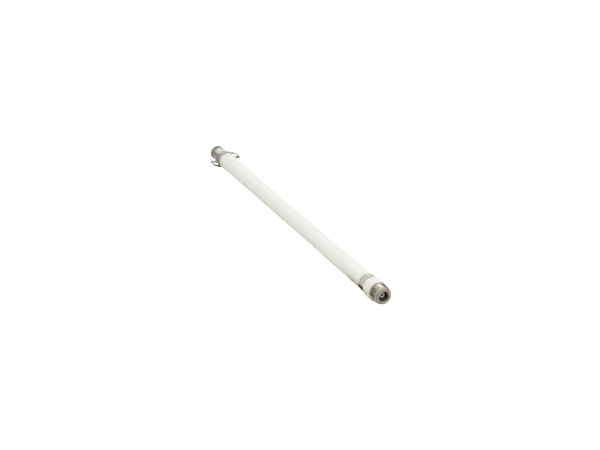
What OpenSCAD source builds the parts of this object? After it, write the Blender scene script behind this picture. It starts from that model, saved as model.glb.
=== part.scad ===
// Rod-shaped omnidirectional antenna with a threaded coaxial jack at its base and a screwed tip.
// It lies along Y on the plane Z = 0, its jack towards -Y, as it rests on a bench.
// Every sub-part is turned about the antenna's own axis and described by its distance from
// the jack's front rim, then laid down by lay().

/* [Overall] */
// Length from the jack's front rim to the tip of the cap
total_l = 357; // [340:1:380]
// Outer radius of the radome tube
tube_r = 7.4; // [7:0.1:9]
// Wall thickness of the radome tube
tube_wall = 1.2; // [1:0.1:2]

/* [Coaxial jack] */
// Crest radius of the coupling thread
thread_r = 7.94; // [7.8:0.01:8]
// Pitch of the coupling thread
thread_pitch = 1.058; // [1:0.001:1.2]
// Number of full thread crests
thread_turns = 8; // [6:1:8]
// Radius of the flat front rim
rim_r = 6.3; // [6:0.1:7]
// Radius of the jack's mouth
mouth_r = 4.35; // [4.2:0.05:4.5]
// Depth of the mouth, down to the step of the outer contact
mouth_depth = 3; // [2.5:0.1:3.2]
// Radius of the socket contact
contact_r = 1.5; // [1.4:0.05:1.7]

/* [Base collar and nut] */
// Distance from the front rim to the collar
collar_from = 11; // [10.8:0.1:12]
// Length of the collar
collar_l = 10.6; // [9:0.1:12]
// Radius over the collar's rounded corners
collar_r = 9.1; // [8.9:0.1:9.6]
// Width of the collar across its flats
collar_flats = 17.3; // [17:0.1:18]
// Length of the gland nut
nut_l = 9.6; // [8:0.1:10]
// Width of the gland nut across its flats
nut_flats = 15.2; // [15:0.1:16]
// Radius over the gland nut's turned corners
nut_r = 8.25; // [8:0.05:9]

/* [Sleeve and tip] */
// Length of the shrink sleeve over the tube's lower end
sleeve_l = 77; // [60:1:100]
// Outer radius of the shrink sleeve
sleeve_r = 7.75; // [7.7:0.05:8]
// Outer radius of the soft boot on the upper end
boot_r = 7.7; // [7.6:0.05:8]
// Radius of the boot's neck, where the band clamp holds it
neck_r = 6.7; // [6.5:0.1:7]
// Width of the band clamp
band_w = 5; // [4:0.5:6]
// Thickness of the band clamp's sheet
band_t = 1; // [0.6:0.1:1]
// Crest radius of the end fitting's thread
end_thread_r = 6.45; // [6.2:0.05:6.5]
// Pitch of the end fitting's thread
end_pitch = 1.25; // [1:0.05:1.5]
// Outer radius of the tip cap
cap_r = 6.6; // [6.5:0.05:7]
// Length of the tip cap
cap_l = 7; // [6:0.1:8]

/* [Aerial inside] */
// Radius of the radiating elements
element_r = 2.4; // [2:0.1:3]
// Mean radius of the phasing coils
coil_r = 3.2; // [3:0.1:4]
// Radius of the phasing coils' wire
wire_r = 0.45; // [0.3:0.05:0.6]
// Turns in each phasing coil
coil_turns = 6; // [4:1:7]

/* [Hidden] */
$fn = 96;

gap = 0.03;                               // play between pieces that sit in one another
bore_r = tube_r - tube_wall;              // inside of the radome tube
axis_z = collar_flats / 2;                // the collar rests on one of its flats
collar_to = collar_from + collar_l;
washer_l = 0.8;
nut_from = collar_to + washer_l;
nut_to = nut_from + nut_l;
sleeve_from = nut_to + 0.1;
sleeve_to = sleeve_from + sleeve_l;
body_r = 6.9;                             // jack body inside the collar and the nut
jack_to = nut_to + 14;                    // end of the jack's spigot in the tube
relief_r = 7.1;                           // groove behind the coupling thread
seal_l = 0.9;                             // thickness of the face seal

cap_from = total_l - cap_l;
shoulder = cap_from - 0.06;               // face of the end fitting that the cap closes on
nose_r = 5.1;                             // end fitting inside the cap
cap_bore_r = nose_r + 0.05;
cap_seal_r = 0.42;                        // half the thickness of the cap's seal
cap_rebate_r = nose_r + 0.11 + 2 * cap_seal_r;   // recess in the cap that holds the seal
cap_rebate = 2 * cap_seal_r;
cap_floor = 1.4;
band_from = total_l - 18 - band_w;        // the fitting stands 18 mm out of the clamp
boot_to = band_from + band_w + 0.8;
boot_from = band_from - 9;
dome_from = band_from - 3.4;
tube_to = dome_from - 0.6;
spigot_from = tube_to - 16;

feed_from = 24;
choke_from = 66;
choke_to = 118;
element_l = 48;                           // each radiating element
coil_l = 20;                              // each coil former between two elements
element_from = choke_to + 6;
coil_from = element_from + element_l;
pitch_l = element_l + coil_l;             // from one element to the next

// Lays a sub-part down: its own Z, away from the jack, turns to +Y
module lay() translate([0, -total_l / 2, axis_z]) rotate([-90, 0, 0]) children();

// Round bar from one distance to another
module bar(from, to, r) translate([0, 0, from]) cylinder(h = to - from, r = r);

// Hollow round bar
module pipe(from, to, r_out, r_in) difference() {
    bar(from, to, r_out);
    bar(from - 1, to + 1, r_in);
}

// Hexagonal bar whose corners are turned down and whose ends are chamfered
module turned_hex(from, to, flats, r, edge) intersection() {
    translate([0, 0, from]) cylinder(h = to - from, r = flats / 2 / cos(30), $fn = 6);
    rotate_extrude() polygon([[0, from], [r - edge, from], [r, from + edge * 0.6],
                              [r, to - edge * 0.6], [r - edge, to], [0, to]]);
}

// Half section of a run of thread crests, from the axis outwards
function crests(from, turns, pitch, r, depth) = [
    for (i = [0 : turns - 1]) each [
        [r - depth, from + i * pitch],
        [r, from + (i + 0.42) * pitch],
        [r, from + (i + 0.58) * pitch],
        [r - depth, from + (i + 1) * pitch]]
];

// One ring of a coil's wire, turned by a about the axis
function wire_ring(a, from, pitch, sides) = [
    for (j = [0 : sides - 1]) let (b = 360 * j / sides, r = coil_r + wire_r * cos(b))
        [r * cos(a), r * sin(a), from + pitch * a / 360 + wire_r * sin(b)]
];

module jack_body() color([0.74, 0.71, 0.66]) lay() difference() {
    thread_from = 1.1;
    thread_to = thread_from + thread_turns * thread_pitch;
    rotate_extrude() polygon(concat(
        [[0, 0], [rim_r, 0]],
        crests(thread_from, thread_turns, thread_pitch, thread_r, 0.62),
        [[relief_r, thread_to], [relief_r, collar_from - seal_l], [body_r, collar_from - seal_l],
         [body_r, nut_to - gap], [bore_r - gap, nut_to - gap], [bore_r - gap, jack_to],
         [0, jack_to]]));
    bar(-1, mouth_depth, mouth_r);
    bar(mouth_depth - 1, 14, 4.1);
    bar(13, 20, 3.4);
    bar(19, jack_to + 1, 3);
}

module jack_insulator() color([0.9, 0.9, 0.86]) lay() difference() {
    union() {
        bar(3.5, 9.5, 2.3);
        bar(9.5, 14, 4.1 - gap);
        bar(14, 19.5, 3.4 - gap);
    }
    bar(0, 30, contact_r + gap);
}

module socket_contact() color([0.85, 0.68, 0.34]) lay() difference() {
    bar(3.3, 23, contact_r);
    bar(0, 10, 0.83);
    bar(20, 24, 0.55);
    for (a = [0, 90]) rotate([0, 0, a]) translate([-3, -0.15, 3]) cube([6, 0.3, 5]);
}

module face_seal() color([0.55, 0.54, 0.51]) lay()
    pipe(collar_from - seal_l, collar_from, thread_r - 0.45, body_r + gap);

module base_collar() color([0.9, 0.9, 0.87]) lay() difference() {
    turned_hex(collar_from, collar_to, collar_flats, collar_r, 0.7);
    bar(0, nut_to, body_r + gap);
}

module thrust_washer() color([0.6, 0.59, 0.56]) lay()
    pipe(collar_to, nut_from, nut_r - 0.5, body_r + gap);

module gland_nut() color([0.78, 0.76, 0.72]) lay() difference() {
    turned_hex(nut_from, nut_to, nut_flats, nut_r, 0.6);
    bar(0, nut_to + 1, body_r + gap);
}

module shrink_sleeve() color([0.93, 0.93, 0.91]) lay() difference() {
    rotate_extrude() polygon([[0, sleeve_from], [sleeve_r - 0.3, sleeve_from],
        [sleeve_r, sleeve_from + 0.3], [sleeve_r, sleeve_to - 0.3],
        [sleeve_r - 0.3, sleeve_to], [0, sleeve_to]]);
    bar(0, sleeve_to + 1, tube_r + gap);
}

module radome_tube() color([0.94, 0.94, 0.92]) lay() pipe(sleeve_from, tube_to, tube_r, bore_r);

module cable_ferrule() color([0.75, 0.74, 0.72]) lay()
    pipe(feed_from + 4, feed_from + 14, 3 - gap, 1.8 + gap);

module feed_shield() color([0.75, 0.45, 0.3]) lay()
    pipe(feed_from + 4, choke_to + 2, 1.8, 1.3 + gap);

module feed_dielectric() color([0.93, 0.93, 0.9]) lay()
    pipe(feed_from + 2, choke_to + 4, 1.3, 0.5 + gap);

module feed_conductor() color([0.8, 0.66, 0.4]) lay() bar(20.5, element_from + 3, 0.5);

module choke_sleeve() color([0.8, 0.64, 0.35]) lay() pipe(choke_from, choke_to, 4.8, 4.3);

module choke_shorting_disc() color([0.8, 0.64, 0.35]) lay()
    pipe(choke_from + 0.5, choke_from + 2.5, 4.3 - gap, 1.8 + gap);

// A radiating element, drilled at both ends for the pieces it is joined to
module element(index) lay() {
    from = element_from + index * pitch_l;
    difference() {
        bar(from, from + element_l, element_r);
        bar(from - 1, from + 6, index == 0 ? 0.5 + gap : 1.2 + gap);
        bar(from + element_l - 6, from + element_l + 1, 1.2 + gap);
    }
}

module lower_element() color([0.82, 0.66, 0.36]) element(0);

module middle_element() color([0.82, 0.66, 0.36]) element(1);

module upper_element() color([0.82, 0.66, 0.36]) element(2);

// A phasing coil wound between two elements
module phasing_coil(index) lay() {
    sides = 8;
    steps = 24;
    run = coil_l - 4;
    pitch = run / coil_turns;
    from = coil_from + index * pitch_l + 2;
    rings = steps * coil_turns;
    points = [for (i = [0 : rings]) each wire_ring(i * 360 / steps, from, pitch, sides)];
    skin = [for (i = [0 : rings - 1], j = [0 : sides - 1]) let (k = (j + 1) % sides)
        [i * sides + j, i * sides + k, (i + 1) * sides + k, (i + 1) * sides + j]];
    polyhedron(points, concat(skin, [[for (j = [sides - 1 : -1 : 0]) j],
                                     [for (j = [0 : sides - 1]) rings * sides + j]]));
}

module lower_phasing_coil() color([0.72, 0.42, 0.26]) phasing_coil(0);

module upper_phasing_coil() color([0.72, 0.42, 0.26]) phasing_coil(1);

// An acetal former that carries a coil, with a stub in the element at each end
module coil_former(index) lay() {
    from = coil_from + index * pitch_l;
    bar(from, from + coil_l, element_r);
    bar(from - 5, from + coil_l + 5, 1.2);
}

module lower_coil_former() color([0.95, 0.94, 0.9]) coil_former(0);

module upper_coil_former() color([0.95, 0.94, 0.9]) coil_former(1);

module foam_spacers() color([0.96, 0.95, 0.86]) lay() {
    for (at = [choke_from + 6, choke_to - 14]) pipe(at, at + 8, bore_r - 0.1, 4.8 + gap);
    for (i = [0 : 2]) let (at = element_from + i * pitch_l + 0.55 * element_l)
        pipe(at, at + 8, bore_r - 0.1, element_r + gap);
}

module tip_bush() color([0.93, 0.93, 0.9]) lay() {
    from = element_from + 2 * pitch_l + element_l;
    bar(from - 5, spigot_from + 8, 1.2);
    bar(from, spigot_from + 8, 3.4);
}

module end_fitting() color([0.74, 0.72, 0.66]) lay() difference() {
    turns = floor((shoulder - boot_to - 0.8) / end_pitch);
    thread_from = shoulder - 0.5 - turns * end_pitch;
    rotate_extrude() polygon(concat(
        [[0, spigot_from], [bore_r - 0.6, spigot_from], [bore_r - gap, spigot_from + 0.6],
         [bore_r - gap, spigot_from + 4], [bore_r - 0.8, spigot_from + 4],
         [bore_r - 0.8, spigot_from + 6], [bore_r - gap, spigot_from + 6],
         [bore_r - gap, tube_to - 1.5], [neck_r - 0.8, tube_to - 0.2], [neck_r - 0.8, boot_to],
         [end_thread_r - 0.55, boot_to]],
        crests(thread_from, turns, end_pitch, end_thread_r, 0.55),
        [[end_thread_r - 0.1, shoulder - 0.4], [end_thread_r - 0.1, shoulder], [nose_r, shoulder],
         [nose_r, total_l - cap_floor - 0.9], [nose_r - 0.6, total_l - cap_floor - 0.3],
         [0, total_l - cap_floor - 0.3]]));
    bar(spigot_from - 1, spigot_from + 8, 3.4 + gap);
    bar(spigot_from, total_l, 1.6);
}

module spigot_seal() color([0.12, 0.12, 0.12]) lay()
    pipe(spigot_from + 4.2, spigot_from + 5.8, bore_r - 0.05, bore_r - 0.75);

// A soft white boot that covers the tube's upper end and necks down onto the end fitting
module end_boot() color([0.92, 0.92, 0.89]) lay() difference() {
    rotate_extrude() union() {
        polygon([[0, boot_from], [boot_r - 0.25, boot_from], [boot_r, boot_from + 0.25],
                 [boot_r, dome_from], [0, dome_from]]);
        intersection() {
            translate([boot_r - 3.4, dome_from]) circle(r = 3.4);
            translate([0, dome_from - 0.01]) square([boot_r, 3.41]);
        }
        translate([0, dome_from - 0.01]) square([boot_r - 3.4, 3.41]);
        polygon([[0, band_from - 1.6], [neck_r, band_from - 1.6], [neck_r, boot_to - 0.3],
                 [neck_r - 0.3, boot_to], [0, boot_to]]);
    }
    bar(boot_from - 1, tube_to + gap, tube_r + gap);
    bar(tube_to, boot_to + 1, neck_r - 0.8 + gap);
}

// Sheet of the band clamp between two points of its end view
module sheet(from, to) {
    run = to - from;
    translate(from) rotate(atan2(run.y, run.x)) translate([0, -band_t / 2]) square([norm(run), band_t]);
    translate(to) circle(d = band_t, $fn = 32);
}

// A band clamp with two folded ears, the second half a turn from the first
module ear_clamp() color([0.72, 0.72, 0.7]) lay() translate([0, 0, band_from]) {
    mid_r = neck_r + 0.05 + band_t / 2;
    ear = [[mid_r * cos(70), mid_r * sin(70)], [6.2, 5.6], [10.2, 4], [12.4, 1.9], [13.2, 0.4],
           [12, -0.4], [mid_r * cos(7), mid_r * sin(7)]];
    linear_extrude(band_w) mirror([0, 1]) {
        difference() {
            circle(r = mid_r + band_t / 2);
            circle(r = mid_r - band_t / 2);
        }
        for (turn = [0, 180]) rotate(turn) for (i = [0 : len(ear) - 2]) sheet(ear[i], ear[i + 1]);
    }
}

module cap_seal() color([0.1, 0.1, 0.1]) lay() translate([0, 0, shoulder + cap_seal_r + 0.02])
    rotate_extrude() translate([nose_r + 0.06 + cap_seal_r, 0]) circle(r = cap_seal_r, $fn = 32);

module tip_cap() color([0.42, 0.41, 0.38]) lay() difference() {
    rotate_extrude() polygon([[0, cap_from], [cap_r - 0.3, cap_from], [cap_r, cap_from + 0.3],
        [cap_r, total_l - 0.9], [cap_r - 0.9, total_l], [0, total_l]]);
    bar(cap_from - 1, total_l - cap_floor, cap_bore_r);
    bar(cap_from - 1, cap_from + cap_rebate, cap_rebate_r);
}

jack_body();
jack_insulator();
socket_contact();
face_seal();
base_collar();
gland_nut();
thrust_washer();
shrink_sleeve();
radome_tube();
cable_ferrule();
feed_shield();
feed_dielectric();
feed_conductor();
choke_sleeve();
choke_shorting_disc();
lower_element();
middle_element();
upper_element();
lower_phasing_coil();
upper_phasing_coil();
lower_coil_former();
upper_coil_former();
foam_spacers();
tip_bush();
end_fitting();
spigot_seal();
end_boot();
ear_clamp();
cap_seal();
tip_cap();
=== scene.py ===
import bpy
import math
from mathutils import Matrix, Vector


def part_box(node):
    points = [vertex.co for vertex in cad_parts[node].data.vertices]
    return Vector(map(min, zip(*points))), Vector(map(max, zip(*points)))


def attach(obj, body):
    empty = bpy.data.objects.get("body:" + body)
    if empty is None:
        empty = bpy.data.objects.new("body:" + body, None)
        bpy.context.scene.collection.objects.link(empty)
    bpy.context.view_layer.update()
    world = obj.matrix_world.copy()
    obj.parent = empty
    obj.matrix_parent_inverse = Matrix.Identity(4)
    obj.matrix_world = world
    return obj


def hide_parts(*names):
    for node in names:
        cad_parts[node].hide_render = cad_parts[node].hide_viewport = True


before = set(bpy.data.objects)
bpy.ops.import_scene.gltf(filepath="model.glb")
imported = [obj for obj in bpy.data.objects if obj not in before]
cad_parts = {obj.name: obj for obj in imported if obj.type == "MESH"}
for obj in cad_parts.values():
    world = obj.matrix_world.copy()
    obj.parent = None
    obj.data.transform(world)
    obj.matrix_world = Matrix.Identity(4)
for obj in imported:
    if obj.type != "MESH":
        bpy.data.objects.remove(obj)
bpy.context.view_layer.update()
bpy.ops.object.select_all(action="DESELECT")

mm = 0.001
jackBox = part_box("jack_body")
rimY = jackBox[0].y                                  # front rim of the jack
axisZ = (jackBox[0].z + jackBox[1].z) / 2            # the antenna's axis, which runs along Y


def nearFace(node):                                  # mm from the front rim to the node's near face
    return (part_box(node)[0].y - rimY) / mm


def farFace(node):                                   # and to its far face
    return (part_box(node)[1].y - rimY) / mm


def halfWidth(node):                                 # mm
    low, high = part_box(node)
    return (high.x - low.x) / 2 / mm


view = {
    "azimuth": -23.8, "elevation": 22.5,             # degrees
    "distance": 2.30, "lens": 160.0,                 # m, mm
    "lookAt": (3.3, -3.4, 4.4),                      # mm
}


def addCamera():
    azimuth, elevation = math.radians(view["azimuth"]), math.radians(view["elevation"])
    back = Vector((math.sin(azimuth) * math.cos(elevation),
                   -math.cos(azimuth) * math.cos(elevation), math.sin(elevation)))
    target = Vector(view["lookAt"]) * mm
    bpy.ops.object.camera_add(location=target + back * view["distance"])
    camera = bpy.context.object
    camera.rotation_euler = (-back).to_track_quat("-Z", "Y").to_euler()
    camera.data.lens = view["lens"]
    camera.data.clip_end = 50
    bpy.context.scene.camera = camera


light = {
    "horizon": 0.92, "zenith": 1.04,                 # brightness of the room's walls and ceiling
    "softbox": 0.5, "softboxSize": 0.35,             # W, m
    "softboxPlace": (0.35, -0.95, 0.62), "softboxAim": (0, -0.17, 0),        # m
    "sweep": 0.99,                                   # the white sweep as the camera sees it
    "table": "#dcdad4",                              # the same paper as the antenna sees it
    "paperSize": 12, "sweepDrop": 0.0003,            # m, the sweep lies just under the table's paper
}

# Each card's shade, its size and place in metres, and its turn in degrees. The flags only show in the
# metal and the gloss: they take no light from the white parts.
flags = {
    "leftFlag": ("#1c1a18", 0.34, (-0.38, -0.26, 0.12), (0, 80, -8)),
    "frontFlag": ("#54473b", 0.42, (-0.28, -0.60, 0.13), (80, 0, -30)),      # streaks the jack's thread
    "rightFlag": ("#1c1a18", 0.40, (0.40, -0.36, 0.10), (80, 0, 65)),        # darkens its right edge
    "backFlag": ("#1c1a18", 0.30, (0.42, 0.04, 0.06), (0, 90, 25)),
    "tipFlag": ("#1c1a18", 0.16, (-0.14, 0.41, 0.05), (90, 0, -20)),         # streaks the end fitting
    "frontPaper": ("#5a4b3f", 0.080, (-0.0520, -0.2230, 0.0003), (0, 0, 0)),
    "tipPaper": ("#3a362f", 0.036, (-0.0290, 0.2020, 0.0003), (0, 0, 0)),
}
shadePaper = ("#5e5248", 0.032, (-0.0190, -0.1380, 0.0003), (0, 0, 0))       # shades the sleeve by the nut


def srgb(code):                                      # a hex colour as linear light
    parts = [int(code[i:i + 2], 16) / 255 for i in (1, 3, 5)]
    return tuple(c / 12.92 if c <= 0.04045 else ((c + 0.055) / 1.055) ** 2.4 for c in parts) + (1.0,)


# Adds one node: a setting is a socket's value or a property, and a link is a node, for its first
# output, or a node and an output's name
def addNode(tree, kind, settings=None, links=None):
    node = tree.nodes.new(kind)
    for key, value in (settings or {}).items():
        if isinstance(key, int) or key in node.inputs:
            node.inputs[key].default_value = value
        else:
            setattr(node, key, value)
    for key, source in (links or {}).items():
        giver, output = source if isinstance(source, tuple) else (source, 0)
        tree.links.new(giver.outputs[output], node.inputs[key])
    return node


def startMaterial(name):
    material = bpy.data.materials.new(name)
    material.use_nodes = True
    material.node_tree.nodes.clear()
    return material, material.node_tree


inMillimetres = {"Scale": (1 / mm,) * 3, "Location": (0, 0, -axisZ / mm)}      # centred on the axis
alongAxis = {"Scale": (1 / mm, 0.05 / mm, 1 / mm), "Location": (0, 0, -axisZ / mm)}   # drawn out along Y
ringWave = 0.314                                     # a wave node of this scale draws a ring a millimetre


def paperSweep():                                    # seamless white paper, lit to its brightest
    material, tree = startMaterial("paperSweep")
    place = addNode(tree, "ShaderNodeTexCoord")
    grid = addNode(tree, "ShaderNodeMapping", inMillimetres, {"Vector": (place, "Object")})
    cloud = addNode(tree, "ShaderNodeTexNoise", {"Scale": 1 / 180}, {"Vector": grid})
    tone = addNode(tree, "ShaderNodeMix", {"data_type": "RGBA", 6: srgb("#fdfdfc"), 7: srgb("#ffffff")},
                   {0: cloud})
    shader = addNode(tree, "ShaderNodeBsdfPrincipled",
                     {"Roughness": 1.0, "Specular IOR Level": 0.0, "Emission Color": (1, 1, 1, 1),
                      "Emission Strength": light["sweep"]}, {"Base Color": (tone, 2)})
    addNode(tree, "ShaderNodeOutputMaterial", None, {"Surface": shader})
    return material


def paintedCard(name, shade):                        # dull painted board, with a trace of its grain
    material, tree = startMaterial(name)
    place = addNode(tree, "ShaderNodeTexCoord")
    grid = addNode(tree, "ShaderNodeMapping", inMillimetres, {"Vector": (place, "Object")})
    fibre = addNode(tree, "ShaderNodeTexNoise", {"Scale": 1 / 30}, {"Vector": grid})
    bump = addNode(tree, "ShaderNodeBump", {"Strength": 1.0, "Distance": 0.1 * mm}, {"Height": fibre})
    shader = addNode(tree, "ShaderNodeBsdfPrincipled",
                     {"Roughness": 1.0, "Specular IOR Level": 0.0, "Base Color": srgb(shade)},
                     {"Normal": bump})
    addNode(tree, "ShaderNodeOutputMaterial", None, {"Surface": shader})
    return material


def addSoftbox():
    place, aim = Vector(light["softboxPlace"]), Vector(light["softboxAim"])
    bpy.ops.object.light_add(type="AREA", location=place)
    lamp = bpy.context.object
    lamp.name = "softbox"
    lamp.data.energy = light["softbox"]
    lamp.data.size = light["softboxSize"]
    lamp.rotation_euler = (aim - place).to_track_quat("-Z", "Y").to_euler()


def addRoom():
    world = bpy.data.worlds.new("studio")
    bpy.context.scene.world = world
    world.use_nodes = True
    tree = world.node_tree
    tree.nodes.clear()
    place = addNode(tree, "ShaderNodeTexCoord")
    split = addNode(tree, "ShaderNodeSeparateXYZ", None, {0: (place, "Generated")})
    level = addNode(tree, "ShaderNodeMapRange",
                    {"From Min": 0.0, "From Max": 0.9, "To Min": light["horizon"],
                     "To Max": light["zenith"]}, {"Value": (split, "Z")})
    glow = addNode(tree, "ShaderNodeBackground", None, {"Strength": level})
    glow.inputs["Color"].default_value = srgb("#ffffff")
    addNode(tree, "ShaderNodeOutputWorld", None, {"Surface": glow})


# A card that shows in the antenna's surfaces, but that the camera looks through
def addCard(name, shade, size, place, turn):
    bpy.ops.mesh.primitive_plane_add(size=size, location=place,
                                     rotation=[math.radians(angle) for angle in turn])
    card = bpy.context.object
    card.name = name
    card.data.materials.append(paintedCard(name, shade))
    card.visible_camera = False
    return card


def addStage():
    addRoom()
    size = light["paperSize"]
    bpy.ops.mesh.primitive_plane_add(size=size, location=(0, 0, -light["sweepDrop"]))
    floor = bpy.context.object
    floor.name = "studioFloor"
    floor.data.materials.append(paperSweep())
    addCard("tablePaper", light["table"], size, (0, 0, 0), (0, 0, 0))
    for name, settings in flags.items():
        flag = addCard(name, *settings)
        flag.visible_diffuse = False
        flag.visible_shadow = False
    addCard("darkPaper", *shadePaper)
    addSoftbox()
    bpy.context.scene.view_settings.view_transform = "Standard"


def gelCoatedFibreglass():                           # white gel coat, the glass strands faint under it
    material, tree = startMaterial("gelCoatedFibreglass")
    place = addNode(tree, "ShaderNodeTexCoord")
    grid = addNode(tree, "ShaderNodeMapping", inMillimetres, {"Vector": (place, "Object")})
    drawn = addNode(tree, "ShaderNodeMapping", alongAxis, {"Vector": (place, "Object")})
    cloud = addNode(tree, "ShaderNodeTexNoise", {"Scale": 1 / 22, "Detail": 3}, {"Vector": grid})
    strands = addNode(tree, "ShaderNodeTexNoise", {"Scale": 1 / 0.9, "Detail": 4}, {"Vector": drawn})
    peel = addNode(tree, "ShaderNodeTexNoise", {"Scale": 1 / 3.5, "Detail": 2}, {"Vector": grid})
    marks = addNode(tree, "ShaderNodeTexNoise", {"Scale": 1 / 14, "Detail": 6, "Roughness": 0.7},
                    {"Vector": grid})
    scuffed = addNode(tree, "ShaderNodeMapRange", {"From Min": 0.60, "From Max": 0.72}, {"Value": marks})
    coat = addNode(tree, "ShaderNodeMix", {"data_type": "RGBA", 6: srgb("#ecebe5"), 7: srgb("#f0f0ea")},
                   {0: cloud})
    tone = addNode(tree, "ShaderNodeMix", {"data_type": "RGBA", 7: srgb("#e3e0d6")},
                   {0: scuffed, 6: (coat, 2)})
    gloss = addNode(tree, "ShaderNodeMapRange",
                    {"From Min": 0.3, "From Max": 0.7, "To Min": 0.30, "To Max": 0.46}, {"Value": peel})
    skin = addNode(tree, "ShaderNodeBump", {"Strength": 1.0, "Distance": 0.05 * mm}, {"Height": peel})
    relief = addNode(tree, "ShaderNodeBump", {"Strength": 1.0, "Distance": 0.015 * mm},
                     {"Height": strands, "Normal": skin})
    shader = addNode(tree, "ShaderNodeBsdfPrincipled",
                     {"IOR": 1.5, "Subsurface Weight": 0.06, "Subsurface Scale": 0.001,
                      "Coat Weight": 0.15, "Coat Roughness": 0.2},
                     {"Base Color": (tone, 2), "Roughness": gloss, "Normal": relief})
    addNode(tree, "ShaderNodeOutputMaterial", None, {"Surface": shader})
    return material


def shrinkPolyolefin():                              # extruded sleeve: satin, with faint lengthwise lines
    material, tree = startMaterial("shrinkPolyolefin")
    place = addNode(tree, "ShaderNodeTexCoord")
    grid = addNode(tree, "ShaderNodeMapping", inMillimetres, {"Vector": (place, "Object")})
    drawn = addNode(tree, "ShaderNodeMapping", alongAxis, {"Vector": (place, "Object")})
    cloud = addNode(tree, "ShaderNodeTexNoise", {"Scale": 1 / 9, "Detail": 3}, {"Vector": grid})
    lines = addNode(tree, "ShaderNodeTexNoise", {"Scale": 1 / 0.7, "Detail": 3}, {"Vector": drawn})
    grain = addNode(tree, "ShaderNodeTexNoise", {"Scale": 1 / 0.5, "Detail": 2}, {"Vector": grid})
    tone = addNode(tree, "ShaderNodeMix", {"data_type": "RGBA", 6: srgb("#edede5"), 7: srgb("#f2f2ea")},
                   {0: cloud})
    gloss = addNode(tree, "ShaderNodeMapRange",
                    {"From Min": 0.3, "From Max": 0.7, "To Min": 0.38, "To Max": 0.56}, {"Value": cloud})
    skin = addNode(tree, "ShaderNodeBump", {"Strength": 1.0, "Distance": 0.015 * mm}, {"Height": grain})
    relief = addNode(tree, "ShaderNodeBump", {"Strength": 1.0, "Distance": 0.04 * mm},
                     {"Height": lines, "Normal": skin})
    shader = addNode(tree, "ShaderNodeBsdfPrincipled",
                     {"IOR": 1.49, "Subsurface Weight": 0.06, "Subsurface Scale": 0.001},
                     {"Base Color": (tone, 2), "Roughness": gloss, "Normal": relief})
    addNode(tree, "ShaderNodeOutputMaterial", None, {"Surface": shader})
    return material


def mouldedElastomer():                              # soft white boot, dull from the mould's sparked face
    material, tree = startMaterial("mouldedElastomer")
    place = addNode(tree, "ShaderNodeTexCoord")
    grid = addNode(tree, "ShaderNodeMapping", inMillimetres, {"Vector": (place, "Object")})
    cloud = addNode(tree, "ShaderNodeTexNoise", {"Scale": 1 / 5, "Detail": 3}, {"Vector": grid})
    spark = addNode(tree, "ShaderNodeTexNoise", {"Scale": 1 / 0.4, "Detail": 4}, {"Vector": grid})
    tone = addNode(tree, "ShaderNodeMix", {"data_type": "RGBA", 6: srgb("#e6e3da"), 7: srgb("#eeece4")},
                   {0: cloud})
    gloss = addNode(tree, "ShaderNodeMapRange",
                    {"From Min": 0.3, "From Max": 0.7, "To Min": 0.46, "To Max": 0.62}, {"Value": spark})
    relief = addNode(tree, "ShaderNodeBump", {"Strength": 1.0, "Distance": 0.04 * mm}, {"Height": spark})
    shader = addNode(tree, "ShaderNodeBsdfPrincipled",
                     {"IOR": 1.46, "Subsurface Weight": 0.1, "Subsurface Scale": 0.001},
                     {"Base Color": (tone, 2), "Roughness": gloss, "Normal": relief})
    addNode(tree, "ShaderNodeOutputMaterial", None, {"Surface": shader})
    return material


def stovedEnamel():                                  # glossy white enamel, thin and grey on its corners
    material, tree = startMaterial("stovedEnamel")
    place = addNode(tree, "ShaderNodeTexCoord")
    grid = addNode(tree, "ShaderNodeMapping", inMillimetres, {"Vector": (place, "Object")})
    cloud = addNode(tree, "ShaderNodeTexNoise", {"Scale": 1 / 4, "Detail": 3}, {"Vector": grid})
    peel = addNode(tree, "ShaderNodeTexNoise", {"Scale": 1 / 1.1, "Detail": 2}, {"Vector": grid})
    shape = addNode(tree, "ShaderNodeNewGeometry")
    corner = addNode(tree, "ShaderNodeMapRange", {"From Min": 0.58, "From Max": 0.72, "To Max": 0.5},
                     {"Value": (shape, "Pointiness")})
    enamel = addNode(tree, "ShaderNodeMix", {"data_type": "RGBA", 6: srgb("#e9e7e0"), 7: srgb("#efede7")},
                     {0: cloud})
    tone = addNode(tree, "ShaderNodeMix", {"data_type": "RGBA", 7: srgb("#c6c1b4")},
                   {0: corner, 6: (enamel, 2)})
    gloss = addNode(tree, "ShaderNodeMapRange",
                    {"From Min": 0.3, "From Max": 0.7, "To Min": 0.24, "To Max": 0.38}, {"Value": peel})
    relief = addNode(tree, "ShaderNodeBump", {"Strength": 1.0, "Distance": 0.012 * mm}, {"Height": peel})
    shader = addNode(tree, "ShaderNodeBsdfPrincipled",
                     {"IOR": 1.52, "Coat Weight": 0.3, "Coat Roughness": 0.15},
                     {"Base Color": (tone, 2), "Roughness": gloss, "Normal": relief})
    addNode(tree, "ShaderNodeOutputMaterial", None, {"Surface": shader})
    return material


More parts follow.
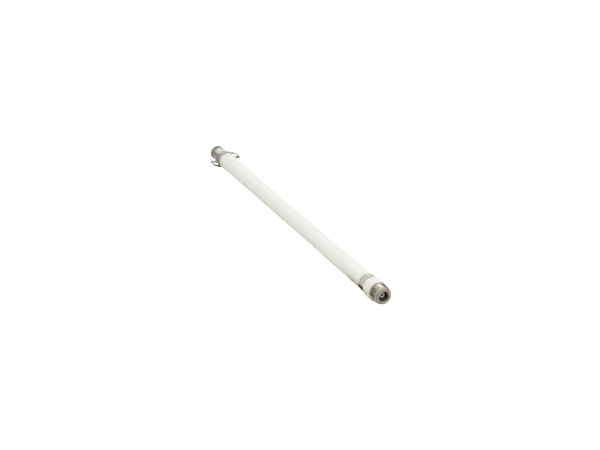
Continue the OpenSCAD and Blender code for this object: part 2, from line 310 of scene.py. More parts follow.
# Metal turned and then plated: fine rings from the tool, cloudy stains, and rubbed bright edges.
# The rings are as coarse as they need to be to show.
def platedMetal(name, finish):
    material, tree = startMaterial(name)
    place = addNode(tree, "ShaderNodeTexCoord")
    grid = addNode(tree, "ShaderNodeMapping", inMillimetres, {"Vector": (place, "Object")})
    rings = addNode(tree, "ShaderNodeTexWave",
                    {"wave_type": "BANDS", "bands_direction": "Y", "Scale": ringWave / finish["ringPitch"],
                     "Distortion": 0.4, "Detail": 2}, {"Vector": grid})
    cloud = addNode(tree, "ShaderNodeTexNoise", {"Scale": 1 / 3.5, "Detail": 4, "Roughness": 0.6},
                    {"Vector": grid})
    smear = addNode(tree, "ShaderNodeTexNoise", {"Scale": 1 / 0.8, "Detail": 3}, {"Vector": grid})
    shape = addNode(tree, "ShaderNodeNewGeometry")
    edge = addNode(tree, "ShaderNodeMapRange", {"From Min": 0.53, "From Max": 0.62, "To Max": 0.8},
                   {"Value": (shape, "Pointiness")})
    plating = addNode(tree, "ShaderNodeMix",
                      {"data_type": "RGBA", 6: srgb(finish["stained"]), 7: srgb(finish["clean"])},
                      {0: cloud})
    tone = addNode(tree, "ShaderNodeMix", {"data_type": "RGBA", 7: srgb(finish["rubbed"])},
                   {0: edge, 6: (plating, 2)})
    gloss = addNode(tree, "ShaderNodeMapRange",
                    {"From Min": 0.3, "From Max": 0.7, "To Min": finish["roughness"] - 0.05,
                     "To Max": finish["roughness"] + 0.09}, {"Value": smear})
    relief = addNode(tree, "ShaderNodeBump", {"Strength": 1.0, "Distance": finish["ringDepth"] * mm},
                     {"Height": rings})
    shader = addNode(tree, "ShaderNodeBsdfPrincipled", {"Metallic": 1.0},
                     {"Base Color": (tone, 2), "Roughness": gloss, "Normal": relief})
    addNode(tree, "ShaderNodeOutputMaterial", None, {"Surface": shader})
    return material


def tarnishedNickel():                               # warm nickel on the jack, dulled by handling
    return platedMetal("tarnishedNickel", {
        "stained": "#776a5d", "clean": "#a09282", "rubbed": "#cfc9bc", "roughness": 0.18,
        "ringPitch": 0.25, "ringDepth": 0.006})


def mouthShadeNickel():                                # dull plating, its colour darkened as painted shade for inside the jack's mouth
    return platedMetal("mouthShadeNickel", {
        "stained": "#66635a", "clean": "#858177", "rubbed": "#a5a195", "roughness": 0.35,
        "ringPitch": 0.2, "ringDepth": 0.006})


def paleNickel():                                    # yellowish, dull-bright nickel on the end fitting
    return platedMetal("paleNickel", {
        "stained": "#b3b0a0", "clean": "#d3d0c1", "rubbed": "#e3e0d3", "roughness": 0.27,
        "ringPitch": 0.3, "ringDepth": 0.006})


def brightNickel():                                  # fresh nickel on the hexagon nut
    return platedMetal("brightNickel", {
        "stained": "#b9b6a9", "clean": "#d4d1c5", "rubbed": "#eae7de", "roughness": 0.2,
        "ringPitch": 0.4, "ringDepth": 0.004})


def capNickel():                                     # smokier plating on the fluted cap
    return platedMetal("capNickel", {
        "stained": "#928f86", "clean": "#b9b6ac", "rubbed": "#dcdad1", "roughness": 0.2,
        "ringPitch": 0.3, "ringDepth": 0.005})


def silverPlate():                                   # dull silver over spring copper
    return platedMetal("silverPlate", {
        "stained": "#cfd1c8", "clean": "#e4e6de", "rubbed": "#ecede8", "roughness": 0.5,
        "ringPitch": 0.2, "ringDepth": 0.003})


def rolledStainless():                               # grey strip with a fine grain rolled round the band
    material, tree = startMaterial("rolledStainless")
    place = addNode(tree, "ShaderNodeTexCoord")
    grid = addNode(tree, "ShaderNodeMapping", inMillimetres, {"Vector": (place, "Object")})
    across, along = 4 / mm, 0.15 / mm                # lines 0.25 mm apart, each drawn out to 7 mm
    rolled = addNode(tree, "ShaderNodeMapping",
                     {"Scale": (along, across, along), "Location": (0, 0, -along * axisZ)},
                     {"Vector": (place, "Object")})
    cloud = addNode(tree, "ShaderNodeTexNoise", {"Scale": 1 / 2.5, "Detail": 3}, {"Vector": grid})
    lines = addNode(tree, "ShaderNodeTexNoise", {"Scale": 1.0, "Detail": 3}, {"Vector": rolled})
    tone = addNode(tree, "ShaderNodeMix", {"data_type": "RGBA", 6: srgb("#b3b1ab"), 7: srgb("#d2d0ca")},
                   {0: cloud})
    gloss = addNode(tree, "ShaderNodeMapRange",
                    {"From Min": 0.3, "From Max": 0.7, "To Min": 0.24, "To Max": 0.42}, {"Value": lines})
    relief = addNode(tree, "ShaderNodeBump", {"Strength": 1.0, "Distance": 0.004 * mm}, {"Height": lines})
    shader = addNode(tree, "ShaderNodeBsdfPrincipled", {"Metallic": 1.0},
                     {"Base Color": (tone, 2), "Roughness": gloss, "Normal": relief})
    addNode(tree, "ShaderNodeOutputMaterial", None, {"Surface": shader})
    return material


def zincPlate():                                     # pale grey spangle on a stamped washer
    material, tree = startMaterial("zincPlate")
    place = addNode(tree, "ShaderNodeTexCoord")
    grid = addNode(tree, "ShaderNodeMapping", inMillimetres, {"Vector": (place, "Object")})
    spangle = addNode(tree, "ShaderNodeTexVoronoi", {"Scale": 1 / 1.1}, {"Vector": grid})
    tone = addNode(tree, "ShaderNodeMix", {"data_type": "RGBA", 6: srgb("#a8a7a2"), 7: srgb("#c8c7c2")},
                   {0: spangle})
    gloss = addNode(tree, "ShaderNodeMapRange", {"To Min": 0.3, "To Max": 0.5}, {"Value": spangle})
    shader = addNode(tree, "ShaderNodeBsdfPrincipled", {"Metallic": 1.0},
                     {"Base Color": (tone, 2), "Roughness": gloss})
    addNode(tree, "ShaderNodeOutputMaterial", None, {"Surface": shader})
    return material


# Moulded rubber: dull, pitted by the mould, with a dusty bloom
def mouldedRubber(name, bare, dusty):
    material, tree = startMaterial(name)
    place = addNode(tree, "ShaderNodeTexCoord")
    grid = addNode(tree, "ShaderNodeMapping", inMillimetres, {"Vector": (place, "Object")})
    bloom = addNode(tree, "ShaderNodeTexNoise", {"Scale": 1 / 1.6, "Detail": 4}, {"Vector": grid})
    pits = addNode(tree, "ShaderNodeTexNoise", {"Scale": 1 / 0.3, "Detail": 2}, {"Vector": grid})
    tone = addNode(tree, "ShaderNodeMix", {"data_type": "RGBA", 6: srgb(bare), 7: srgb(dusty)},
                   {0: bloom})
    gloss = addNode(tree, "ShaderNodeMapRange", {"To Min": 0.45, "To Max": 0.8}, {"Value": bloom})
    relief = addNode(tree, "ShaderNodeBump", {"Strength": 1.0, "Distance": 0.02 * mm}, {"Height": pits})
    shader = addNode(tree, "ShaderNodeBsdfPrincipled", {"IOR": 1.52},
                     {"Base Color": (tone, 2), "Roughness": gloss, "Normal": relief})
    addNode(tree, "ShaderNodeOutputMaterial", None, {"Surface": shader})
    return material


def mouldedNitrile():                                # black oil-proof rubber
    return mouldedRubber("mouldedNitrile", "#1d1d1c", "#383633")


def mouldedSilicone():                               # grey weatherproof rubber
    return mouldedRubber("mouldedSilicone", "#7f7c75", "#9a978f")


# Plastic turned from rod: waxy, a little see-through, with fine tool rings
def turnedPlastic(name, finish):
    material, tree = startMaterial(name)
    place = addNode(tree, "ShaderNodeTexCoord")
    grid = addNode(tree, "ShaderNodeMapping", inMillimetres, {"Vector": (place, "Object")})
    rings = addNode(tree, "ShaderNodeTexWave",
                    {"wave_type": "BANDS", "bands_direction": "Y", "Scale": ringWave / finish["ringPitch"],
                     "Distortion": 0.3, "Detail": 2}, {"Vector": grid})
    cloud = addNode(tree, "ShaderNodeTexNoise", {"Scale": 1 / 1.5, "Detail": 3}, {"Vector": grid})
    tone = addNode(tree, "ShaderNodeMix",
                   {"data_type": "RGBA", 6: srgb(finish["dull"]), 7: srgb(finish["pale"])}, {0: cloud})
    gloss = addNode(tree, "ShaderNodeMapRange", {"To Min": 0.35, "To Max": 0.5}, {"Value": rings})
    relief = addNode(tree, "ShaderNodeBump", {"Strength": 1.0, "Distance": 0.008 * mm}, {"Height": rings})
    shader = addNode(tree, "ShaderNodeBsdfPrincipled",
                     {"IOR": finish["ior"], "Subsurface Weight": 0.2, "Subsurface Scale": 0.001},
                     {"Base Color": (tone, 2), "Roughness": gloss, "Normal": relief})
    addNode(tree, "ShaderNodeOutputMaterial", None, {"Surface": shader})
    return material


def turnedPtfe():                                    # waxy greenish-white fluoropolymer
    return turnedPlastic("turnedPtfe", {"dull": "#c2c6b8", "pale": "#d8dbce", "ringPitch": 0.3,
                                        "ior": 1.38})


def turnedAcetal():                                  # ivory-white engineering plastic
    return turnedPlastic("turnedAcetal", {"dull": "#e5e1d5", "pale": "#efece2", "ringPitch": 0.2,
                                          "ior": 1.48})


# Rod, tube and wire drawn through a die: fine lengthwise lines and a soft tarnish
def drawnMetal(name, finish):
    material, tree = startMaterial(name)
    place = addNode(tree, "ShaderNodeTexCoord")
    grid = addNode(tree, "ShaderNodeMapping", inMillimetres, {"Vector": (place, "Object")})
    drawn = addNode(tree, "ShaderNodeMapping", alongAxis, {"Vector": (place, "Object")})
    lines = addNode(tree, "ShaderNodeTexNoise", {"Scale": 1 / 0.35, "Detail": 3}, {"Vector": drawn})
    tarnish = addNode(tree, "ShaderNodeTexNoise", {"Scale": 1 / 6, "Detail": 4, "Roughness": 0.6},
                      {"Vector": grid})
    tone = addNode(tree, "ShaderNodeMix",
                   {"data_type": "RGBA", 6: srgb(finish["tarnished"]), 7: srgb(finish["clean"])},
                   {0: tarnish})
    gloss = addNode(tree, "ShaderNodeMapRange",
                    {"From Min": 0.3, "From Max": 0.7, "To Min": 0.2, "To Max": 0.38}, {"Value": lines})
    relief = addNode(tree, "ShaderNodeBump", {"Strength": 1.0, "Distance": 0.004 * mm}, {"Height": lines})
    shader = addNode(tree, "ShaderNodeBsdfPrincipled", {"Metallic": 1.0},
                     {"Base Color": (tone, 2), "Roughness": gloss, "Normal": relief})
    addNode(tree, "ShaderNodeOutputMaterial", None, {"Surface": shader})
    return material


def drawnBrass():                                    # yellow half-hard brass
    return drawnMetal("drawnBrass", {"tarnished": "#a98343", "clean": "#d2ae66"})


def drawnCopper():                                   # pink soft copper
    return drawnMetal("drawnCopper", {"tarnished": "#a9623f", "clean": "#d08a63"})


def enamelledWire():                                 # copper under clear amber enamel
    material, tree = startMaterial("enamelledWire")
    place = addNode(tree, "ShaderNodeTexCoord")
    grid = addNode(tree, "ShaderNodeMapping", inMillimetres, {"Vector": (place, "Object")})
    cloud = addNode(tree, "ShaderNodeTexNoise", {"Scale": 1 / 2, "Detail": 3}, {"Vector": grid})
    runs = addNode(tree, "ShaderNodeTexNoise", {"Scale": 1 / 0.6, "Detail": 2}, {"Vector": grid})
    tone = addNode(tree, "ShaderNodeMix", {"data_type": "RGBA", 6: srgb("#8c3f1d"), 7: srgb("#b5602f")},
                   {0: cloud})
    gloss = addNode(tree, "ShaderNodeMapRange", {"To Min": 0.25, "To Max": 0.4}, {"Value": runs})
    relief = addNode(tree, "ShaderNodeBump", {"Strength": 1.0, "Distance": 0.01 * mm}, {"Height": runs})
    shader = addNode(tree, "ShaderNodeBsdfPrincipled",
                     {"Metallic": 0.9, "Coat Weight": 0.8, "Coat Roughness": 0.08},
                     {"Base Color": (tone, 2), "Roughness": gloss, "Normal": relief})
    addNode(tree, "ShaderNodeOutputMaterial", None, {"Surface": shader})
    return material


def closedCellFoam():                                # cream foam, its cells about 0.6 mm across
    material, tree = startMaterial("closedCellFoam")
    place = addNode(tree, "ShaderNodeTexCoord")
    grid = addNode(tree, "ShaderNodeMapping", inMillimetres, {"Vector": (place, "Object")})
    cells = addNode(tree, "ShaderNodeTexVoronoi", {"Scale": 1 / 0.6}, {"Vector": grid})
    tone = addNode(tree, "ShaderNodeMix", {"data_type": "RGBA", 6: srgb("#d9d4bd"), 7: srgb("#efecdc")},
                   {0: cells})
    gloss = addNode(tree, "ShaderNodeMapRange", {"To Min": 0.7, "To Max": 0.9}, {"Value": cells})
    relief = addNode(tree, "ShaderNodeBump", {"Strength": 1.0, "Distance": 0.25 * mm}, {"Height": cells})
    shader = addNode(tree, "ShaderNodeBsdfPrincipled",
                     {"IOR": 1.4, "Subsurface Weight": 0.3, "Subsurface Scale": 0.001},
                     {"Base Color": (tone, 2), "Roughness": gloss, "Normal": relief})
    addNode(tree, "ShaderNodeOutputMaterial", None, {"Surface": shader})
    return material


def editMode(piece):
    bpy.ops.object.select_all(action="DESELECT")
    piece.select_set(True)
    bpy.context.view_layer.objects.active = piece
    bpy.ops.object.mode_set(mode="EDIT")


def objectMode():
    bpy.ops.object.mode_set(mode="OBJECT")


def applyModifier(piece, kind, settings):
    bpy.context.view_layer.objects.active = piece
    modifier = piece.modifiers.new(kind.lower(), kind)
    for key, value in settings.items():
        setattr(modifier, key, value)
    bpy.ops.object.modifier_apply(modifier=modifier.name)


# A chain of vertices drawn in the YZ plane: each point is a distance from the rim and a radius, in mm
def drawChain(name, points, closed):
    bpy.ops.mesh.primitive_plane_add(size=1, enter_editmode=True, location=(0, 0, axisZ))
    chain = bpy.context.object
    chain.name = name
    bpy.ops.mesh.merge(type="CENTER")
    bpy.ops.transform.translate(value=(0, rimY + points[0][0] * mm, points[0][1] * mm))
    for before, after in zip(points, points[1:]):
        step = (0, (after[0] - before[0]) * mm, (after[1] - before[1]) * mm)
        bpy.ops.mesh.extrude_vertices_move(TRANSFORM_OT_translate={"value": step})
    if closed:
        bpy.ops.mesh.select_all(action="DESELECT")
        objectMode()
        chain.data.vertices[0].select = True
        chain.data.vertices[len(points) - 1].select = True
        bpy.ops.object.mode_set(mode="EDIT")
        bpy.ops.mesh.edge_face_add()
    objectMode()
    return chain


def cleanShell(piece):                               # doubles merged, then normals outward
    editMode(piece)
    bpy.ops.mesh.select_all(action="SELECT")
    bpy.ops.mesh.remove_doubles(threshold=1e-7)
    bpy.ops.mesh.normals_make_consistent(inside=False)
    objectMode()


# Turned on a lathe: the outline goes once round the antenna's axis
def turnOutline(name, points, closed=True, segments=96):
    piece = drawChain(name, points, closed)
    applyModifier(piece, "SCREW", {"axis": "Y", "angle": 2 * math.pi, "steps": segments,
                                   "render_steps": segments, "use_merge_vertices": True,
                                   "merge_threshold": 1e-7})
    cleanShell(piece)
    return piece


def roundEdges(piece, width, segments=2, angle=24):  # mm, a count, and degrees
    applyModifier(piece, "BEVEL", {"width": width * mm, "segments": segments,
                                   "limit_method": "ANGLE", "angle_limit": math.radians(angle),
                                   "harden_normals": False})


def combine(piece, other, operation):                # the second object is used up
    applyModifier(piece, "BOOLEAN", {"operation": operation, "solver": "EXACT", "object": other})
    bpy.data.objects.remove(other)


# Evenly spaced points from one distance to another at a radius, so that a surface can be waved
def evenly(start, end, radiusThere, spacing):
    count = max(1, round(abs(end - start) / spacing))
    return [(start + (end - start) * i / count, radiusThere) for i in range(count + 1)]


def arc(centre, size, startAngle, endAngle, count):  # angles in degrees
    angles = [math.radians(startAngle + (endAngle - startAngle) * i / count) for i in range(count + 1)]
    return [(centre[0] + size * math.cos(a), centre[1] + size * math.sin(a)) for a in angles]


# Cuts the corners of an open path, again and again, and keeps its ends
def softened(path, rounds):
    for _ in range(rounds):
        cut = [path[0]]
        for a, b in zip(path, path[1:]):
            cut += [(a[0] * 0.75 + b[0] * 0.25, a[1] * 0.75 + b[1] * 0.25),
                    (a[0] * 0.25 + b[0] * 0.75, a[1] * 0.25 + b[1] * 0.75)]
        path = [path[0]] + cut[2:-1] + [path[-1]]
    return path


# Waves a surface a little, so that it isn't machine-straight: the waves' size and height are in mm
def ripple(piece, size, height):
    clouds = bpy.data.textures.new(piece.name + "Ripple", "CLOUDS")
    clouds.noise_scale = size * mm
    clouds.noise_depth = 1
    applyModifier(piece, "DISPLACE", {"texture": clouds, "strength": height * mm, "mid_level": 0.5,
                                      "texture_coords": "LOCAL"})


# Closes the open ends of a helix
def closeEnds(helix):
    editMode(helix)
    bpy.ops.mesh.select_all(action="DESELECT")
    bpy.ops.mesh.select_non_manifold()
    bpy.ops.mesh.fill_holes(sides=0)
    objectMode()
    cleanShell(helix)


# Right-hand screw thread, run out at both ends by its envelope, and joined to a core
def cutThread(core, name, settings):
    pitch, root, crest = settings["pitch"], settings["root"], settings["crest"]
    start = settings["from"] - pitch
    turns = math.ceil((settings["to"] - settings["from"]) / pitch) + 2
    foot, top = 0.08 * pitch, 0.43 * pitch           # where the near flank starts and ends
    sunk, spare = root - 0.5, crest + 0.05           # into the core, and past the envelope
    ridge = drawChain(name, [(start + foot, sunk), (start + foot, root), (start + top, spare),
                             (start + pitch - top, spare), (start + pitch - foot, root),
                             (start + pitch - foot, sunk)], True)
    applyModifier(ridge, "SCREW", {"axis": "Y", "angle": 2 * math.pi, "screw_offset": pitch * mm,
                                   "iterations": turns, "steps": 72, "render_steps": 72})
    closeEnds(ridge)
    envelope = turnOutline("envelope", [
        (settings["from"], root - 0.25), (settings["from"], root + 0.05),
        (settings["from"] + settings["lead"], crest), (settings["to"] - 0.5, crest),
        (settings["to"], root + 0.02), (settings["to"], root - 0.25)])
    combine(ridge, envelope, "INTERSECT")
    combine(core, ridge, "UNION")


# A hexagonal bar with turned-down corners and a bore, its flats at the top and bottom
def millHexagon(name, node, settings):
    start, end = nearFace(node), farFace(node)
    corner, edge, bore = settings["corner"], settings["edge"], settings["bore"]
    bpy.ops.mesh.primitive_cylinder_add(
        vertices=6, radius=settings["flats"] / 2 / math.cos(math.pi / 6) * mm, depth=(end - start) * 2 * mm,
        location=(0, rimY + (start + end) / 2 * mm, axisZ), rotation=(math.pi / 2, math.pi / 6, 0))
    piece = bpy.context.object
    piece.name = name
    envelope = turnOutline("envelope", [(start, bore), (start, corner - edge), (start + edge * 0.6, corner),
                                        (end - edge * 0.6, corner), (end, corner - edge), (end, bore)])
    combine(piece, envelope, "INTERSECT")
    roundEdges(piece, settings["softness"], 3)
    return piece


smoothBelow = 32                                     # degrees between faces, past which an edge is sharp


# Puts a finished piece at the origin, gives it its body and its material, and hides the CAD nodes it
# replaces
def finishPiece(piece, body, nodes, material):
    bpy.ops.object.select_all(action="DESELECT")
    piece.select_set(True)
    bpy.context.view_layer.objects.active = piece
    bpy.ops.object.transform_apply(location=True, rotation=True, scale=True)
    bpy.ops.object.shade_smooth_by_angle(angle=math.radians(smoothBelow))
    piece.data.materials.clear()
    piece.data.materials.append(material)
    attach(piece, body)
    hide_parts(*nodes)
    piece.select_set(False)


barrel = {                                           # radii, and distances from the rim, in mm
    "rim": 6.3, "rimRound": 0.25, "mouth": 4.35, "mouthDepth": 3.0, "mouthChamfer": 0.35,
    "relief": 7.1, "threadTo": 9.95, "reliefTo": 10.1, "stem": 6.9, "spigot": 6.17,
    "seat": 4.1, "seatTo": 14.0, "bore": 3.4, "boreTo": 20.0, "throat": 3.0, "spigotChamfer": 0.5,
    "thread": {"from": 1.12, "to": 9.95, "pitch": 1.058, "root": 7.32, "crest": 7.94, "lead": 1.9},
}


def makeJackBarrel():
    nutEnd, end = farFace("gland_nut"), farFace("jack_body")
    rim, mouth, cut, rounding = barrel["rim"], barrel["mouth"], barrel["mouthChamfer"], barrel["rimRound"]
    root, spigot, chamfer = barrel["thread"]["root"], barrel["spigot"], barrel["spigotChamfer"]
    seat, bore, throat = barrel["seat"], barrel["bore"], barrel["throat"]
    core = turnOutline("jackBarrel", [(0.0, mouth + cut)]
                       + arc((rounding, rim - rounding), rounding, 180, 90, 4)
                       + [(0.85, rim + 0.1), (1.1, root), (barrel["threadTo"], root),
                          (barrel["threadTo"], barrel["relief"]), (barrel["reliefTo"], barrel["relief"]),
                          (barrel["reliefTo"], barrel["stem"]), (nutEnd, barrel["stem"]),
                          (nutEnd, spigot), (end - chamfer, spigot), (end, spigot - chamfer),
                          (end, throat), (barrel["boreTo"], throat), (barrel["boreTo"], bore),
                          (barrel["seatTo"], bore), (barrel["seatTo"], seat),
                          (barrel["mouthDepth"], seat), (barrel["mouthDepth"], mouth), (cut, mouth)])
    cutThread(core, "jackThread", barrel["thread"])
    roundEdges(core, 0.05, angle=28)
    finishPiece(core, "antenna", ["jack_body"], tarnishedNickel())
    core.data.materials.append(mouthShadeNickel())
    for face in core.data.polygons:
        across = math.hypot(face.center.x, face.center.z - axisZ)
        if across < (mouth + 0.05) * mm and face.center.y > rimY + cut * mm:
            face.material_index = 1                  # the walls of the mouth, whose darker nickel is painted shade


insulator = {"front": 3.5, "boss": 2.3, "bossTo": 9.5, "flangeTo": 14.0, "flange": 4.07, "stem": 3.37,
             "bore": 1.53, "chamfer": 0.2}           # mm


def makeJackInsulator():
    front, boss, cut, bore = insulator["front"], insulator["boss"], insulator["chamfer"], insulator["bore"]
    end = farFace("jack_insulator")
    piece = turnOutline("jackInsulator", [
        (front, bore), (front, boss - cut), (front + cut, boss), (insulator["bossTo"], boss),
        (insulator["bossTo"], insulator["flange"]), (insulator["flangeTo"], insulator["flange"]),
        (insulator["flangeTo"], insulator["stem"]), (end, insulator["stem"]), (end, bore)])
    roundEdges(piece, 0.05)
    finishPiece(piece, "antenna", ["jack_insulator"], turnedPtfe())


socket = {                                           # mm
    "radius": 1.5, "tip": 3.3, "tipRadius": 1.25, "tipLength": 0.5,
    "bore": 0.83, "boreTo": 10.0, "mouth": 1.12, "mouthDepth": 0.35,
    "groove": 1.38, "grooveFrom": 12.0, "grooveTo": 12.8,
    "cup": 0.55, "cupFrom": 20.0,                    # solder cup at the far end
    "core": 0.01,                                    # a hair's width stays open on the axis
    "slotDepth": 4.7, "slotWidth": 0.3, "overrun": 1.0,
}


def makeSocketContact():
    tip, end = socket["tip"], farFace("socket_contact")
    radius, groove, cup, core = socket["radius"], socket["groove"], socket["cup"], socket["core"]
    contact = turnOutline("socketContact", [
        (tip, socket["mouth"]), (tip, socket["tipRadius"]), (tip + socket["tipLength"], radius),
        (socket["grooveFrom"], radius), (socket["grooveFrom"], groove), (socket["grooveTo"], groove),
        (socket["grooveTo"], radius), (end, radius), (end, cup), (socket["cupFrom"], cup),
        (socket["cupFrom"], core), (socket["boreTo"], core), (socket["boreTo"], socket["bore"]),
        (tip + socket["mouthDepth"], socket["bore"])], segments=64)
    length = socket["slotDepth"] + socket["overrun"]
    middle = tip - socket["overrun"] + length / 2
    for turn in (0, math.pi / 2):
        bpy.ops.mesh.primitive_cube_add(size=1, location=(0, rimY + middle * mm, axisZ),
                                        rotation=(0, turn, 0))
        cutter = bpy.context.object
        cutter.scale = (4 * radius * mm, length * mm, socket["slotWidth"] * mm)
        combine(contact, cutter, "DIFFERENCE")
    roundEdges(contact, 0.04)
    finishPiece(contact, "antenna", ["socket_contact"], silverPlate())


collar = {"flats": 17.3, "corner": 9.1, "edge": 0.7, "bore": 6.93, "softness": 0.22}     # mm


def makeBaseCollar():
    piece = millHexagon("baseCollar", "base_collar", collar)
    finishPiece(piece, "antenna", ["base_collar"], stovedEnamel())


nut = {"flats": 15.2, "corner": 8.25, "edge": 0.6, "bore": 6.93, "softness": 0.09}        # mm


def makeGlandNut():
    piece = millHexagon("glandNut", "gland_nut", nut)
    finishPiece(piece, "antenna", ["gland_nut"], brightNickel())


sleeve = {"inner": 7.43, "lip": 0.28, "ripple": 0.09, "rippleSize": 7.0, "spacing": 1.1}   # mm


def makeShrinkSleeve():
    start, end = nearFace("shrink_sleeve"), farFace("shrink_sleeve")
    outer, inner, lip = halfWidth("shrink_sleeve") - 0.04, sleeve["inner"], sleeve["lip"]
    outline = ([(start, inner), (start, outer - lip)] + [(start + 0.09, outer - 0.09)]
               + evenly(start + lip, end - lip, outer, sleeve["spacing"])
               + [(end - 0.09, outer - 0.09), (end, outer - lip), (end, inner)]
               + evenly(end - 2, start + 2, inner, 12))
    piece = turnOutline("shrinkSleeve", outline)
    ripple(piece, sleeve["rippleSize"], sleeve["ripple"])
    finishPiece(piece, "antenna", ["shrink_sleeve"], shrinkPolyolefin())


tube = {"inner": 6.2, "edge": 0.2, "ripple": 0.05, "rippleSize": 26.0, "spacing": 2.4}    # mm


def makeRadomeTube():
    start, end = nearFace("radome_tube"), farFace("radome_tube")
    outer, inner, edge = halfWidth("radome_tube"), tube["inner"], tube["edge"]
    outline = ([(start, inner + edge), (start, outer - edge), (start + edge, outer)]
               + evenly(start + 2, end - 2, outer, tube["spacing"])
               + [(end - edge, outer), (end, outer - edge), (end, inner + edge), (end - edge, inner)]
               + evenly(end - 4, start + 4, inner, 12) + [(start + edge, inner)])
    piece = turnOutline("radomeTube", outline)
    ripple(piece, tube["rippleSize"], tube["ripple"])
    finishPiece(piece, "antenna", ["radome_tube"], gelCoatedFibreglass())


boot = {"neck": 6.7, "tube": 7.43, "hole": 5.93, "dome": 3.0, "bead": 0.45, "waist": 0.06}   # mm


def makeEndBoot():
    start, end, bandStart = nearFace("end_boot"), farFace("end_boot"), nearFace("ear_clamp")
    outer, neck, hole, inner = halfWidth("end_boot"), boot["neck"], boot["hole"], boot["tube"]
    bead, dome = boot["bead"], boot["dome"]
    wall = farFace("radome_tube") + 0.03
    domeEnd = bandStart - 0.3
    crown = arc((domeEnd - dome, outer - dome), dome, 90, 24, 9)
    outline = ([(start, inner), (start, outer - 0.2)]
               + arc((start + bead, outer - bead), bead, 160, 70, 4)
               + [(start + 3 * bead, outer - 2 * boot["waist"])]
               + evenly(start + 2.2, crown[0][0] - 0.6, outer - boot["waist"], 1.0) + crown
               + [(domeEnd - 0.15, neck + 0.1), (bandStart, neck), (end - 0.35, neck),
                  (end, neck - 0.3), (end, hole), (wall, hole), (wall, inner)])
    piece = turnOutline("endBoot", outline)
    ripple(piece, 5, 0.06)
    finishPiece(piece, "antenna", ["end_boot"], mouldedElastomer())


clamp = {
    "sheet": 1.0, "inner": 6.75,                     # mm
    # the fold of one ear, seen from the end: across and up from the axis, in mm
    "ear": [(6.3, 5.5), (10.2, 4.2), (12.4, 2.6), (13.2, 1.2), (12.8, 0.1), (11.3, 0.3), (9.4, 1.1)],
    "leaves": 70, "returns": 8,                      # degrees round the band
    "trim": 0.03,                                    # the ears are this much narrower than the band
}


def makeEarClamp():
    start, end, trim = nearFace("ear_clamp"), farFace("ear_clamp"), clamp["trim"]
    inner, sheet = clamp["inner"], clamp["sheet"]
    middle, outer = inner + sheet / 2, inner + sheet
    band = turnOutline("earClamp", [(start, inner), (start, outer), (end, outer), (end, inner)])
    rim = [(middle * math.cos(math.radians(a)), middle * math.sin(math.radians(a)))
           for a in (clamp["leaves"], clamp["returns"])]
    path = softened([rim[0]] + clamp["ear"] + [rim[1]], 3)
    for side in (1, -1):
        bpy.ops.mesh.primitive_plane_add(size=1, enter_editmode=True,
                                         location=(0, rimY + (start + trim) * mm, axisZ))
        ear = bpy.context.object
        bpy.ops.mesh.merge(type="CENTER")
        bpy.ops.transform.translate(value=(side * path[0][0] * mm, 0, side * path[0][1] * mm))
        for before, after in zip(path, path[1:]):
            step = (side * (after[0] - before[0]) * mm, 0, side * (after[1] - before[1]) * mm)
            bpy.ops.mesh.extrude_vertices_move(TRANSFORM_OT_translate={"value": step})
        bpy.ops.mesh.select_all(action="SELECT")
        width = (end - start - 2 * trim) * mm
        bpy.ops.mesh.extrude_edges_move(TRANSFORM_OT_translate={"value": (0, width, 0)})
        objectMode()
        applyModifier(ear, "SOLIDIFY", {"thickness": sheet * mm, "offset": 0})
        cleanShell(ear)
        combine(band, ear, "UNION")
    roundEdges(band, 0.12, angle=30)
    finishPiece(band, "antenna", ["ear_clamp"], rolledStainless())


fitting = {                                          # mm
    "spigot": 6.17, "groove": 5.4, "neck": 5.9, "nose": 5.1, "shoulder": 6.35, "shoulderWidth": 0.4,
    "socket": 3.43, "bore": 1.6, "socketDepth": 8, "grooveFrom": 4, "grooveTo": 6, "chamfer": 0.6,
    "thread": {"pitch": 1.25, "root": 5.9, "crest": 6.45, "lead": 0.6},
}


def makeEndFitting():
    start, end = nearFace("end_fitting"), farFace("end_fitting")
    shoulder = nearFace("tip_cap") - 0.06
    bootEnd, tubeEnd = farFace("end_boot"), farFace("radome_tube")
    spigot, groove, neck, nose = fitting["spigot"], fitting["groove"], fitting["neck"], fitting["nose"]
    grooveStart, grooveEnd = start + fitting["grooveFrom"], start + fitting["grooveTo"]
    shoulderStart, cut = shoulder - fitting["shoulderWidth"], fitting["chamfer"]
    socketEnd = start + fitting["socketDepth"]
    core = turnOutline("endFitting", [
        (start, fitting["socket"]), (start, spigot - cut), (start + cut, spigot), (grooveStart, spigot),
        (grooveStart, groove), (grooveEnd, groove), (grooveEnd, spigot),
        (tubeEnd - 1.5, spigot), (tubeEnd - 0.2, neck), (shoulderStart, neck),
        (shoulderStart, fitting["shoulder"]), (shoulder, fitting["shoulder"]), (shoulder, nose),
        (end - cut, nose), (end, nose - cut), (end, fitting["bore"]), (socketEnd, fitting["bore"]),
        (socketEnd, fitting["socket"])])
    thread = dict(fitting["thread"])
    thread.update({"from": bootEnd + 0.15, "to": shoulder - 0.6})
    cutThread(core, "endThread", thread)
    roundEdges(core, 0.05, angle=28)
    finishPiece(core, "antenna", ["end_fitting"], paleNickel())


cap = {                                              # a count, and mm
    "flutes": 40, "fluteDepth": 0.28, "fluteTool": 0.63, "fluteMargin": 1.05,
    "slotWidth": 1.4, "slotDepth": 0.7, "floor": 1.4, "bore": 5.15, "rebate": 6.05, "rebateDepth": 0.84,
}


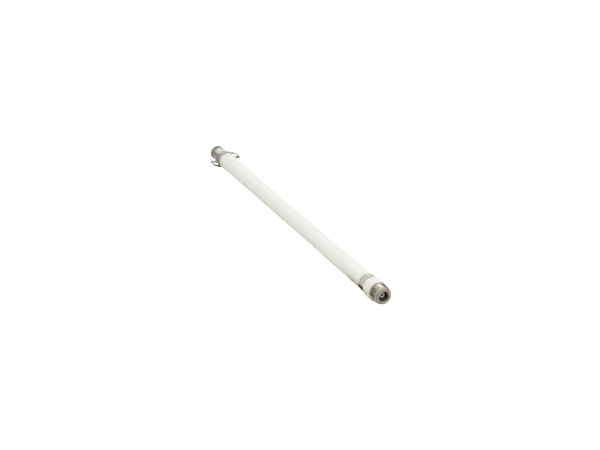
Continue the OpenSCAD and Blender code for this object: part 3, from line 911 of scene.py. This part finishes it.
def makeTipCap():
    start, end = nearFace("tip_cap"), farFace("tip_cap")
    outer = halfWidth("tip_cap")
    rebate = cap["rebateDepth"]
    piece = turnOutline("tipCap", [
        (end - cap["floor"], 0), (end - cap["floor"], cap["bore"]), (start + rebate, cap["bore"]),
        (start + rebate, cap["rebate"]), (start, cap["rebate"]), (start, outer - 0.3),
        (start + 0.3, outer), (end - 0.9, outer),
        (end - 0.35, outer - 0.35), (end, outer - 1.1), (end, 0)], closed=False, segments=120)
    reach = (outer + cap["fluteTool"] - cap["fluteDepth"]) * mm
    middle, length = (start + end) / 2 - 0.25, end - start - 2 * cap["fluteMargin"]
    cutters = []
    for i in range(cap["flutes"]):
        turn = 2 * math.pi * i / cap["flutes"]
        bpy.ops.mesh.primitive_cylinder_add(
            vertices=8, radius=cap["fluteTool"] * mm, depth=length * mm,
            location=(math.cos(turn) * reach, rimY + middle * mm, axisZ + math.sin(turn) * reach),
            rotation=(math.pi / 2, 0, 0))
        cutters.append(bpy.context.object)
    bpy.ops.object.select_all(action="DESELECT")
    for cutter in cutters:
        cutter.select_set(True)
    bpy.context.view_layer.objects.active = cutters[0]
    bpy.ops.object.join()
    combine(piece, cutters[0], "DIFFERENCE")
    bpy.ops.mesh.primitive_cube_add(size=1, location=(0, rimY + end * mm, axisZ))
    slot = bpy.context.object
    slot.scale = (outer * 3 * mm, cap["slotDepth"] * 2 * mm, cap["slotWidth"] * mm)
    combine(piece, slot, "DIFFERENCE")
    roundEdges(piece, 0.05, angle=28)
    finishPiece(piece, "cap", ["tip_cap"], capNickel())


coil = {"turns": 6, "wire": 0.45, "radius": 3.2, "sides": 14}                # counts, and radii in mm


def makePhasingCoil(name, node):
    start, end, wire = nearFace(node), farFace(node), coil["wire"]
    turns = [2 * math.pi * i / coil["sides"] for i in range(coil["sides"])]
    ring = [(start + wire + wire * math.cos(a), coil["radius"] + wire * math.sin(a)) for a in turns]
    piece = drawChain(name, ring, True)
    applyModifier(piece, "SCREW", {"axis": "Y", "angle": 2 * math.pi,
                                   "screw_offset": (end - start - 2 * wire) / coil["turns"] * mm,
                                   "iterations": coil["turns"], "steps": 48, "render_steps": 48})
    closeEnds(piece)
    finishPiece(piece, "antenna", [node], enamelledWire())


def dressCadNodes():
    finishes = {
        turnedPtfe: ["feed_dielectric", "tip_bush"],
        mouldedSilicone: ["face_seal"],
        mouldedNitrile: ["spigot_seal", "cap_seal"],
        zincPlate: ["thrust_washer"],
        brightNickel: ["cable_ferrule"],
        drawnCopper: ["feed_shield", "feed_conductor"],
        drawnBrass: ["choke_sleeve", "choke_shorting_disc", "lower_element", "middle_element",
                     "upper_element"],
        turnedAcetal: ["lower_coil_former", "upper_coil_former"],
        closedCellFoam: ["foam_spacers"],
    }
    for makeMaterial, nodes in finishes.items():
        material = makeMaterial()
        for node in nodes:
            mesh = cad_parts[node].data
            mesh.materials.clear()
            mesh.materials.append(material)


print("camera and stage")
addCamera()
addStage()
print("jack")
makeJackBarrel()
makeJackInsulator()
makeSocketContact()
print("collar and nut")
makeBaseCollar()
makeGlandNut()
print("sleeve, tube and boot")
makeShrinkSleeve()
makeRadomeTube()
makeEndBoot()
print("band clamp")
makeEarClamp()
print("end fitting and tip cap")
makeEndFitting()
makeTipCap()
print("inner pieces")
makePhasingCoil("lowerPhasingCoil", "lower_phasing_coil")
makePhasingCoil("upperPhasingCoil", "upper_phasing_coil")
dressCadNodes()
